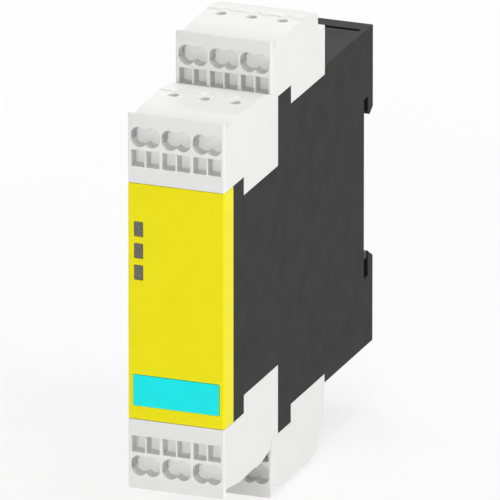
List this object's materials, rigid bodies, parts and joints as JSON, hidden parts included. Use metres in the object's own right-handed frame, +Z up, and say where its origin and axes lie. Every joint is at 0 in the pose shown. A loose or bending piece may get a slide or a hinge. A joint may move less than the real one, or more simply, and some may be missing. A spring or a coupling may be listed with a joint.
{
  "type": "safety relay",
  "caption": "Narrow rail-mounted safety relay with plug-in spring terminals in two tiers above and below a flat front cover, and a sprung latch for the rail.",
  "frame": {"origin": "centre of the rail seat: the middle of the 35 mm rail, on the face that meets the rail", "axes": "+X across the module to the right seen from the front, +Y from the front towards the rail, +Z up as mounted on a vertical panel"},
  "size_m": [0.0226, 0.092, 0.1058],
  "materials": {
    "case": "fine moulded grain, dark grey",
    "cover": "fine moulded grain, yellow",
    "label": "smooth cyan plate",
    "window": "smoked, smooth",
    "block": "fine moulded grain, light grey",
    "carrier": "moulded, light grey",
    "latch": "moulded, black",
    "spring_steel": "bright spring steel",
    "contact": "tinned copper alloy",
    "board": "green solder mask",
    "relay_cap": "amber moulded cap",
    "can": "satin",
    "core": "dull ferrite",
    "chip": "matt moulded resin",
    "lamp": "diffuse lens"
  },
  "bodies": {
    "module": {"blade_header_lower_front": "contact", "blade_header_lower_rear": "contact", "blade_header_upper_front": "contact", "blade_header_upper_rear": "contact", "board_connector": "chip", "clamp_carrier_lower_front": "carrier", "clamp_carrier_lower_rear": "carrier", "clamp_carrier_upper_front": "carrier", "clamp_carrier_upper_rear": "carrier", "clamp_springs_lower_front": "spring_steel", "clamp_springs_lower_rear": "spring_steel", "clamp_springs_upper_front": "spring_steel", "clamp_springs_upper_rear": "spring_steel", "contact_bars_lower_front": "contact", "contact_bars_lower_rear": "contact", "contact_bars_upper_front": "contact", "contact_bars_upper_rear": "contact", "control_board": "board", "front_cover": "cover", "housing": "case", "indicator_lamps": "lamp", "indicator_window_1": "window", "indicator_window_2": "window", "indicator_window_3": "window", "label_plate": "label", "latch_spring": "spring_steel", "main_board": "board", "processor_1": "chip", "processor_2": "chip", "safety_relay_1": "relay_cap", "safety_relay_2": "relay_cap", "side_cover": "case", "supply_capacitor_1": "can", "supply_capacitor_2": "can", "terminal_block_lower_front": "block", "terminal_block_lower_rear": "block", "terminal_block_upper_front": "block", "terminal_block_upper_rear": "block", "transformer": "core"},
    "latch": {"rail_latch": "latch"}
  },
  "joints": [
    {"name": "latch_slide", "type": "slide", "parent": "module", "child": "latch", "axis": [0, 0, -1], "range_m": [0, 0.004], "stiffness_N_per_m": 500, "springref_m": -0.004, "deforming": ["latch_spring"]}
  ]
}
